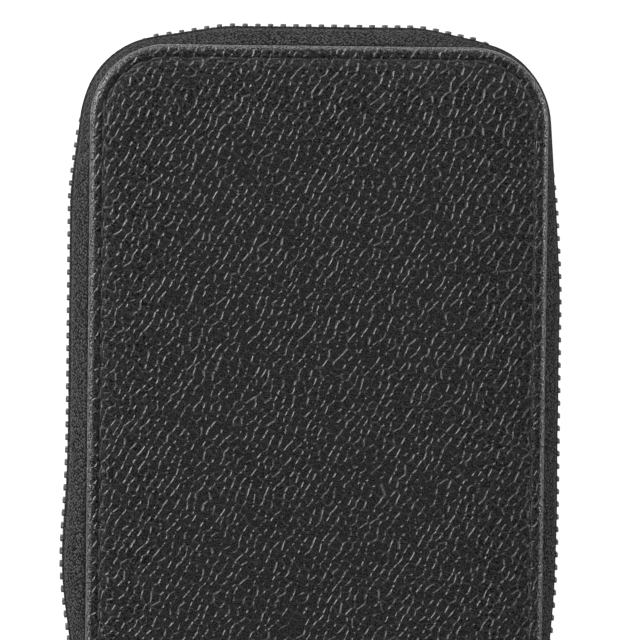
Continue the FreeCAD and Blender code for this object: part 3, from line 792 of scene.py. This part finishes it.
def chain_marks(offset):
    """Even lengths along the chain, out from the middle of the zipped end."""
    line = chain_line()
    reached, whole = lengths_along(line)
    start = next(length for point, length in zip(line, reached) if point.y > CHAIN_END)
    steps = int((whole / 2 - start) / TOOTH_PITCH)
    return [whole / 2 + (k + offset) * TOOTH_PITCH for k in range(-steps, steps + (offset == 0))]


def tooth_sections(side):
    """A coil's leg and head: place along it, half width, and highest point over the tape."""
    reach = TOOTH_HEAD - TOOTH_FOOT
    top = TOOTH_TOPS[side]
    return [
        (0.0, 0.16 * MM, top * 0.5),
        (0.15 * MM, 0.24 * MM, top * 0.8),
        (0.45 * MM, 0.3 * MM, top),
        (reach * 0.5, 0.3 * MM, top),
        (reach - 0.9 * MM, 0.3 * MM, top),
        (reach - 0.4 * MM, 0.34 * MM, top * 0.95),
        (reach - 0.1 * MM, 0.28 * MM, top * 0.8),
        (reach, 0.16 * MM, top * 0.5),
    ]


def build_coil(side):
    """One row of the coil: rounded legs on the tape whose heads lie between those of the other row."""
    towards = Vector((0, 0, COVERS[side][1]))
    points = []
    faces = []
    for point, along in walk(chain_line(), chain_marks(CHAIN_OFFSET[side])):
        out = along.cross(Vector((0, 0, 1)))
        foot = Vector((point.x, point.y, across_side(side, TOOTH_FOOT)))
        sections = []
        for place, half_width, high in tooth_sections(side):
            centre = foot + towards * place + out * ((TOOTH_ROOT + high) / 2)
            half_height = (high - TOOTH_ROOT) / 2
            sections.append(rounded_section(centre, along, out, half_width, half_height, TOOTH_SQUARENESS))
        add_bar(points, faces, sections)
    coil = mesh_piece(f"{side}_coil", points, faces, NYLON)
    return settle(coil, f"{side}_cover", "zip_teeth", f"{side}_zip_teeth")


def build_chain_thread(side):
    """Two lines of thread that hold the coil's legs on the tape, dipping between the legs."""
    towards = Vector((0, 0, COVERS[side][1]))
    marks = chain_marks(CHAIN_OFFSET[side])
    line = chain_line()
    points = []
    faces = []
    steps = CHAIN_THREAD_STEPS
    for reach in CHAIN_THREAD_LINES:
        lengths = [marks[0] + TOOTH_PITCH * k / steps for k in range(steps * (len(marks) - 1) + 1)]
        sections = []
        for k, (point, along) in enumerate(walk(line, lengths)):
            out = along.cross(Vector((0, 0, 1)))
            over = TOOTH_TOPS[side] * (CHAIN_THREAD_OVER if k % steps == 0 else CHAIN_THREAD_BETWEEN)
            foot = Vector((point.x, point.y, across_side(side, TOOTH_FOOT)))
            centre = foot + towards * reach + out * over
            sections.append(rounded_section(centre, towards, out, *CHAIN_THREAD_HALVES))
        add_bar(points, faces, sections)
    thread = mesh_piece(f"{side}_chain_thread", points, faces, THREAD)
    return settle(thread, f"{side}_cover", "zip_tape")


for cover_side in COVERS:
    build_cover(cover_side)
    build_cover_seam(cover_side)
    build_tape(cover_side)
    build_coil(cover_side)
    build_chain_thread(cover_side)


# Flat strips and sheets

EDGE_RADIUS = 0.4 * MM
BEND_STEPS = 12
LEAST_PATCH_STEPS = 24


def edge_round(distance):
    """Share of a sheet's thickness near its rounded edge."""
    t = min(distance / EDGE_RADIUS, 1.0)
    return math.sqrt(t * (2 - t))


def spread(count):
    """Shares from -1 to 1 that lie closer together towards both ends."""
    return [math.sin(math.pi * (k / count - 0.5)) for k in range(count + 1)]


def strip_ring(middle, across, out, half_width, thickness, columns, lift=None):
    """Points round a flat strip with rounded edges: its outer face, then its inner one."""
    outer = []
    inner = []
    for share in spread(columns):
        half = thickness / 2 * edge_round(half_width * (1 - abs(share)))
        level = lift(share * half_width) if lift else 0.0
        place = middle + across * (share * half_width)
        outer.append(place + out * (level + half))
        inner.append(place + out * (level - half))
    return outer + inner[::-1]


def strip_map(length, half_width, columns):
    """Cloth map of one ring of a strip, in millimetres."""
    outer = [(length / MM, share * half_width / MM) for share in spread(columns)]
    return outer + outer[::-1]


def rounded_route(corners, spacing):
    """Even places along a line with arcs at its corners, which are given with their radius."""
    route = [corners[0][0]]
    for (before, _), (corner, radius), (after, _) in zip(corners, corners[1:], corners[2:]):
        arriving = (corner - before).normalized()
        leaving = (after - corner).normalized()
        turn = arriving.angle(leaving)
        reach = radius * math.tan(turn / 2)
        centre = corner + (leaving - arriving).normalized() * (radius / math.cos(turn / 2))
        start = (corner - arriving * reach - centre).normalized()
        end = (corner + leaving * reach - centre).normalized()
        route += [centre + start.slerp(end, k / BEND_STEPS) * radius for k in range(BEND_STEPS + 1)]
    route.append(corners[-1][0])
    whole = lengths_along(route)[1]
    steps = int(whole / spacing)
    marks = [whole * k / steps for k in range(steps + 1)]
    return walk(route, marks), marks


def build_patch(name, middle, across, along, half_width, half_length, thickness, material, lift):
    """A thin sheet with rounded edges. Lift gives how far each place stands out of its plane."""
    out = across.cross(along)
    columns = int(LEAST_PATCH_STEPS + half_width / MM)
    rows = int(LEAST_PATCH_STEPS + half_length / MM)
    rings = []
    for share in spread(rows):
        reach = share * half_length
        thick = thickness * edge_round(half_length - abs(reach))
        centre = middle + along * reach
        rings.append(strip_ring(centre, across, out, half_width, thick, columns, lambda x: lift(x, reach)))
    return loft(name, rings, material)


# Spine strip, in two halves

SPINE_THICKNESS = 1.1 * MM
SPINE_SPACING = 0.3 * MM
SPINE_COLUMNS = 64
SPINE_PUCKER = 0.07 * MM
PUCKER_RATE_ACROSS = 110.0
PUCKER_RATE_UP = 160.0
PUCKER_SEED = 2.0
MARGIN_THICKNESS = 0.62 * MM
FOLD_TURN = 0.75 * MM
SHOULDER = HALF_WIDTH - LIP_LENGTH - 0.2 * MM
SHOULDER_START = -HALF_LENGTH - 0.1 * MM
SHOULDER_END = -HALF_LENGTH + 0.8 * MM
SHOULDER_SLOPE = 1.5 * MM


def strip_half_width(y):
    """Half the spine strip's width: full outside the cover, then within the zip's feet, then narrower."""
    if y < SHOULDER_START:
        return spine_high.x
    narrowed = smooth_step((y - SHOULDER_END) / SHOULDER_SLOPE)
    return SHOULDER + (margin_high.x - SHOULDER) * narrowed


def build_spine(side):
    """Half of the spine leather: its sewn-in edge, the fold and the wall up to the middle of the case."""
    wall = spine_low.y + SPINE_THICKNESS / 2
    sewn = (margin_low.z + margin_high.z) / 2
    corners = [
        (Vector((0, margin_high.y, sewn)), 0),
        (Vector((0, wall, sewn)), FOLD_TURN),
        (Vector((0, wall, MIDDLE)), 0),
    ]
    route = rounded_route(corners, SPINE_SPACING)[0]
    outer, inwards = COVERS[side]
    mirror = Vector((1, 1, inwards))
    across = Vector((1, 0, 0))
    rings = []
    for point, along in route:
        out = Vector((0, -along.z, along.y))
        risen = smooth_step((point.z - sewn) / FOLD_TURN)
        thick = MARGIN_THICKNESS + (SPINE_THICKNESS - MARGIN_THICKNESS) * risen
        half_width = strip_half_width(point.y)
        height = point.z

        def puckers(x):
            place = Vector((x * PUCKER_RATE_ACROSS, height * PUCKER_RATE_UP, PUCKER_SEED))
            return -SPINE_PUCKER * risen * abs(noise.noise(place))

        ring = strip_ring(point, across, out, half_width, thick, SPINE_COLUMNS, puckers)
        rings.append([place * mirror + Vector((0, 0, outer)) for place in ring])
    strip = loft(f"{side}_spine_strip", rings, SPINE_HIDE, caps=True)
    if side == "back":
        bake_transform(strip)
        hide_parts("spine_leather", "back_spine_margin")
    else:
        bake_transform(strip)
        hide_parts("front_spine_margin")
    return strip


SPINE_CLOTH_SHARE = 0.9
SPINE_SEAM_INSET = 1.4 * MM
SPINE_SEAM_DIP = 0.08 * MM
SPINE_SEAM_REACH = 0.4 * MM
SPINE_STITCH_SUNK = 0.06 * MM


def build_spine_cloth():
    """Lining of the spine strip, sewn down along both folds."""
    middle = (spine_cloth_low + spine_cloth_high) / 2
    half_width = spine_cloth_high.x
    half_length = (spine_cloth_high.z - spine_cloth_low.z) / 2
    thickness = (spine_cloth_high.y - spine_cloth_low.y) * SPINE_CLOTH_SHARE
    seam = half_length - SPINE_SEAM_INSET
    upwards = Vector((0, 0, 1))
    sideways = Vector((1, 0, 0))

    def pucker(z, x):
        return -SPINE_SEAM_DIP * bell((abs(z) - seam) / SPINE_SEAM_REACH)

    cloth = build_patch(
        "spine_cloth", middle, upwards, sideways, half_length, half_width, thickness,
        STANDING_CLOTH, pucker)
    settle(cloth, "spine", "lining_cloth", "spine_lining")
    face = spine_cloth_high.y - SPINE_STITCH_SUNK
    places = []
    for height in (middle.z - seam, middle.z + seam):
        for x in stitch_row(2 * half_width - STITCH_PITCH):
            places.append((Vector((x, face, height)), sideways))
    build_stitches(
        "spine_cloth_stitches", places, Vector((0, 1, 0)), "spine", "lining_cloth", width=FINE_STITCH_WIDTH)


# Lining, pen loops and pocket

# The lining's section in millimetres, as (inset, depth under its face): sunk where the turned-in leather
# ends, and sewn at the edge
LINING_SECTION = [
    (28.5, 0.0), (20.0, 0.0), (12.0, 0.0), (8.2, 0.01), (7.6, 0.06), (7.1, 0.16), (6.6, 0.06), (6.0, 0.01),
    (4.5, 0.0), (3.0, 0.01), (2.3, 0.04), (1.95, 0.1), (1.75, 0.13), (1.55, 0.1), (1.38, 0.1), (1.25, 0.18),
    (1.2, 0.3), (1.25, 0.43), (1.4, 0.52), (1.8, 0.55), (6.0, 0.55), (28.5, 0.55),
]
LINING_WAVE = 0.04 * MM
LINING_WAVE_RATE = 60.0
LINING_STITCH_SUNK = 0.1 * MM


def build_lining(side):
    """Lining cloth of one cover, drawn tight, with the seam's stitches along its edge."""
    inwards = COVERS[side][1]
    rings = []
    for inset_mm, depth_mm in LINING_SECTION:
        ring = cover_ring(inset_mm * MM)
        for point in ring:
            wave = LINING_WAVE * noise.noise(Vector((point.x, point.y, inwards)) * LINING_WAVE_RATE)
            point.z = across_side(side, LINING_FACE - depth_mm * MM - abs(wave))
        rings.append(ring)
    cloth = loft(f"{side}_lining_cloth", rings, LINING)
    settle(cloth, f"{side}_cover", "lining_cloth", f"{side}_lining")
    places = seam_places(across_side(side, LINING_FACE - LINING_STITCH_SUNK))
    up = Vector((0, 0, inwards))
    build_stitches(
        f"{side}_lining_stitches", places, up, f"{side}_cover", "lining_cloth", width=FINE_STITCH_WIDTH)


LOOP_BAND = 0.9 * MM
LOOP_PITCH = 18 * MM
LOOP_INSIDE = 13 * MM
LOOP_ROUND = 6 * MM
LOOP_FOOT_ROUND = 0.8 * MM
LOOP_LAND = 3 * MM
LOOP_SPACING = 0.5 * MM
LOOP_COLUMNS = 110
LOOP_STITCH_WIDTH = 0.4 * MM
RIB_PITCH = 1.5 * MM
RIB_HEIGHT = 0.06 * MM


def build_pen_loops(place):
    """A band of ribbed elastic that is sewn down at three lands and stands up as two loops between them."""
    low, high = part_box(f"{place}_pen_loops")
    y = (low.y + high.y) / 2
    half_width = (high.y - low.y) / 2
    land = low.z + LOOP_BAND / 2
    crown = high.z - LOOP_BAND / 2 - RIB_HEIGHT
    corners = [(Vector((low.x, y, land)), 0)]
    for centre in (-LOOP_PITCH / 2, LOOP_PITCH / 2):
        left = centre - LOOP_INSIDE / 2 - LOOP_BAND / 2
        right = centre + LOOP_INSIDE / 2 + LOOP_BAND / 2
        corners.append((Vector((left, y, land)), LOOP_FOOT_ROUND))
        corners.append((Vector((left, y, crown)), LOOP_ROUND + LOOP_BAND / 2))
        corners.append((Vector((right, y, crown)), LOOP_ROUND + LOOP_BAND / 2))
        corners.append((Vector((right, y, land)), LOOP_FOOT_ROUND))
    corners.append((Vector((high.x, y, land)), 0))
    route, marks = rounded_route(corners, LOOP_SPACING)
    across = Vector((0, 1, 0))
    thickness = LOOP_BAND - 2 * RIB_HEIGHT

    def ribs(reach):
        return RIB_HEIGHT * math.cos(2 * math.pi * reach / RIB_PITCH)

    rings = []
    uv = []
    for (point, along), mark in zip(route, marks):
        out = along.cross(across)
        rings.append(strip_ring(point, across, -out, half_width, thickness, LOOP_COLUMNS, ribs))
        uv += strip_map(mark, half_width, LOOP_COLUMNS)
    band = loft(f"{place}_elastic_loops", rings, ELASTIC, caps=True, uv=uv)
    settle(band, "back_cover", "elastic", f"{place}_pen_loops")
    places = []
    for x in (low.x + LOOP_LAND / 2, 0.0, high.x - LOOP_LAND / 2):
        for offset in stitch_row(2 * half_width):
            places.append((Vector((x, y + offset, low.z + LOOP_BAND)), across))
    up = Vector((0, 0, 1))
    build_stitches(
        f"{place}_loop_stitches", places, up, "back_cover", "elastic", width=LOOP_STITCH_WIDTH)


POCKET_CLOTH = 0.55 * MM
POCKET_SEAM = 1.5 * MM
POCKET_GAPE = 0.88 * MM
POCKET_SLOPE = 5 * MM
POCKET_SLACK = 0.12 * MM
SLACK_RATE_ACROSS = 45.0
SLACK_RATE_ALONG = 30.0
SLACK_SEED = 3.0


def pocket_lift(x, from_foot):
    """How far the pocket's cloth stands off the lining: nothing along its sewn sides, open at its mouth."""
    side = smooth_step((pocket_high.x - POCKET_SEAM - abs(x)) / POCKET_SLOPE)
    foot = smooth_step((from_foot - POCKET_SEAM) / POCKET_SLOPE)
    return POCKET_GAPE * side * foot


def build_slip_pocket():
    """Flat cloth pocket inside the front cover, sewn down on three sides."""
    middle = (pocket_low + pocket_high) / 2
    middle.z = pocket_high.z - POCKET_CLOTH / 2
    half_length = (pocket_high.y - pocket_low.y) / 2

    def lift(x, reach):
        place = Vector((x * SLACK_RATE_ACROSS, reach * SLACK_RATE_ALONG, SLACK_SEED))
        slack = POCKET_SLACK * abs(noise.noise(place))
        raised = pocket_lift(x, reach + half_length)
        return raised - slack * raised / POCKET_GAPE

    across = Vector((-1, 0, 0))
    along = Vector((0, 1, 0))
    cloth = build_patch(
        "slip_pocket_cloth", middle, across, along, pocket_high.x, half_length, POCKET_CLOTH, LINING, lift)
    settle(cloth, "front_cover", "lining_cloth", "slip_pocket")
    inset = POCKET_SEAM / 2
    x = pocket_high.x - inset
    foot = pocket_low.y + inset
    height = pocket_high.z - POCKET_CLOTH
    line = [Vector((-x, binding_low.y, height)), Vector((-x, foot, height))]
    line += [Vector((x, foot, height)), Vector((x, binding_low.y, height))]
    whole = lengths_along(line)[1]
    count = int(whole / STITCH_PITCH)
    places = walk(line, [whole * (k + 0.5) / count for k in range(count)])
    up = Vector((0, 0, -1))
    build_stitches(
        "slip_pocket_stitches", places, up, "front_cover", "lining_cloth", width=FINE_STITCH_WIDTH)


# The binding's section in millimetres, as (distance before the pocket's mouth, height over its cloth)
BINDING_SECTION = [
    (5.0, 0.30), (5.0, 0.55), (4.85, 0.66), (4.5, 0.70), (2.5, 0.73), (0.6, 0.72), (0.2, 0.66), (0.0, 0.5),
    (0.0, 0.1), (0.0, -0.2), (0.12, -0.27), (0.22, -0.2), (0.22, 0.24), (0.5, 0.29), (2.5, 0.30),
]
BINDING_COLUMNS = 80
BINDING_SEAM_INSET = 0.9 * MM
BINDING_STITCH_HEIGHT = 0.68 * MM


def build_binding():
    """Leather strip folded over the pocket's mouth and sewn down along it."""
    base = pocket_high.z - POCKET_CLOTH / 2
    mouth = pocket_high.y - pocket_low.y
    rings = []
    for share in spread(BINDING_COLUMNS):
        x = share * binding_high.x
        edge = Vector((x, binding_high.y, base - pocket_lift(x, mouth)))
        rings.append([edge - Vector((0, before, height)) * MM for before, height in BINDING_SECTION])
    strip = loft("pocket_mouth_binding", rings, LEATHER, caps=True)
    settle(strip, "front_cover", "leather", "pocket_binding")
    seam = binding_low.y + BINDING_SEAM_INSET
    places = []
    for x in stitch_row(2 * binding_high.x - STITCH_PITCH):
        height = base - pocket_lift(x, mouth) - BINDING_STITCH_HEIGHT
        places.append((Vector((x, seam, height)), Vector((1, 0, 0))))
    build_stitches("binding_stitches", places, Vector((0, 0, -1)), "front_cover", width=FINE_STITCH_WIDTH)


for cover_side in COVERS:
    build_spine(cover_side)
    build_lining(cover_side)
build_spine_cloth()
build_pen_loops("upper")
build_pen_loops("lower")
build_slip_pocket()
build_binding()


# CAD pieces that keep their shape

METAL_BEVEL = 0.2 * MM
BEVEL_SEGMENTS = 3
BEVEL_ANGLE = math.radians(35)
METAL_NODES = (
    "slider_body", "slider_crown", "pull_tab", "back_zip_stop", "front_zip_stop", "zip_bottom_stop",
)


def finish_node(name, material, bevel=0.0):
    """Give a CAD node its material, and soften its edges."""
    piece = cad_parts[name]
    piece.data.materials.clear()
    piece.data.materials.append(material)
    if bevel:
        soft = piece.modifiers.new("soft_edges", "BEVEL")
        soft.width = bevel
        soft.segments = BEVEL_SEGMENTS
        soft.limit_method = "ANGLE"
        soft.angle_limit = BEVEL_ANGLE
        soft.harden_normals = True


for metal_node in METAL_NODES:
    finish_node(metal_node, ENAMEL, METAL_BEVEL)
for board_node in ("back_board", "front_board"):
    finish_node(board_node, BOARD)


# Camera, light and floor

SENSOR_WIDTH = 36.0
IMAGE_WIDTH = 79.5 * MM
CAMERA_DISTANCE = 750 * MM
CAMERA_LEFT = math.radians(2.5)
CAMERA_UP = math.radians(2.8)
CAMERA_ROLL = math.radians(0.65)
AIM = Vector((0.25 * MM, 46.0 * MM, DEPTH))
LIGHT_AIM = Vector((0, 20 * MM, MIDDLE))
FLOOR_REACH = 4.0
FLOOR_DROP = 0.05 * MM
FLOOR_GLOW = 1.2
FLOOR_GLOW_SHARE = 0.8
TENT_TOP = 0.22
TENT_LIGHT = 1.6
OVERHEAD_LIGHT = 0.05

# The soft lights, as place, width, length and power
LIGHTS = {
    "key": (Vector((-0.66, 0.34, 0.42)), 0.5, 0.5, 13.0),
    "top": (Vector((0.1, 0.1, 1.3)), 0.9, 0.9, 0.5),
    "right": (Vector((0.75, 0.2, 0.09)), 0.12, 0.8, 9.0),
    "beyond": (Vector((0.0, 0.9, 0.09)), 0.9, 0.12, 4.5),
}


def add_camera():
    """The photograph's view: from above the front cover, a little to its left and beyond its zipped end."""
    data = bpy.data.cameras.new("camera")
    data.sensor_width = SENSOR_WIDTH
    data.lens = SENSOR_WIDTH * CAMERA_DISTANCE / IMAGE_WIDTH
    camera = bpy.data.objects.new("camera", data)
    bpy.context.scene.collection.objects.link(camera)
    back = Vector((-math.tan(CAMERA_LEFT), math.tan(CAMERA_UP), 1.0)).normalized()
    up = Vector((-math.sin(CAMERA_ROLL), math.cos(CAMERA_ROLL), 0))
    right = up.cross(back).normalized()
    turn = Matrix((right, back.cross(right), back)).transposed()
    camera.matrix_world = Matrix.Translation(AIM + back * CAMERA_DISTANCE) @ turn.to_4x4()
    bpy.context.scene.camera = camera


def add_softbox(name, place, width, length, power):
    """A rectangular soft light that looks at the case."""
    data = bpy.data.lights.new(name, "AREA")
    data.shape = "RECTANGLE"
    data.size = width
    data.size_y = length
    data.energy = power
    light = bpy.data.objects.new(name, data)
    bpy.context.scene.collection.objects.link(light)
    light.location = place
    light.rotation_euler = (LIGHT_AIM - place).to_track_quat("-Z", "Y").to_euler()


def add_floor():
    """A plain white floor that keeps a trace of the case's shadow."""
    material, tree, shader = new_material("white_floor", Base_Color=(0.9, 0.9, 0.9, 1), Roughness=0.9)
    glow = node(tree, "ShaderNodeEmission", {"Color": (1, 1, 1, 1), "Strength": FLOOR_GLOW})
    seen = node(tree, "ShaderNodeLightPath").outputs["Is Camera Ray"]
    share = math_node(tree, "MULTIPLY", seen, FLOOR_GLOW_SHARE)
    mixed = node(tree, "ShaderNodeMixShader", {0: share, 1: shader.outputs[0], 2: glow.outputs[0]})
    tree.links.new(mixed.outputs[0], tree.nodes["Material Output"].inputs["Surface"])
    signs = ((-1, -1), (1, -1), (1, 1), (-1, 1))
    corners = [Vector((x * FLOOR_REACH, y * FLOOR_REACH, -FLOOR_DROP)) for x, y in signs]
    floor = mesh_piece("floor", corners, [(0, 1, 2, 3)], material)


def add_world():
    """A light tent: white round the horizon and dark overhead, and white where the camera sees it."""
    world = bpy.data.worlds.new("studio")
    bpy.context.scene.world = world
    world.use_nodes = True
    tree = world.node_tree
    way = node(tree, "ShaderNodeTexCoord").outputs["Generated"]
    tent = ramp(tree, axis_of(tree, way, "Z"), 0.0, TENT_TOP, TENT_LIGHT, OVERHEAD_LIGHT)
    seen = node(tree, "ShaderNodeLightPath").outputs["Is Camera Ray"]
    strength = math_node(tree, "MAXIMUM", tent, seen)
    tree.links.new(strength, tree.nodes["Background"].inputs["Strength"])
    tree.nodes["Background"].inputs["Color"].default_value = (1, 1, 1, 1)


bpy.context.scene.view_settings.view_transform = "Standard"
add_camera()
for light_name, light_values in LIGHTS.items():
    add_softbox(light_name, *light_values)
add_floor()
add_world()
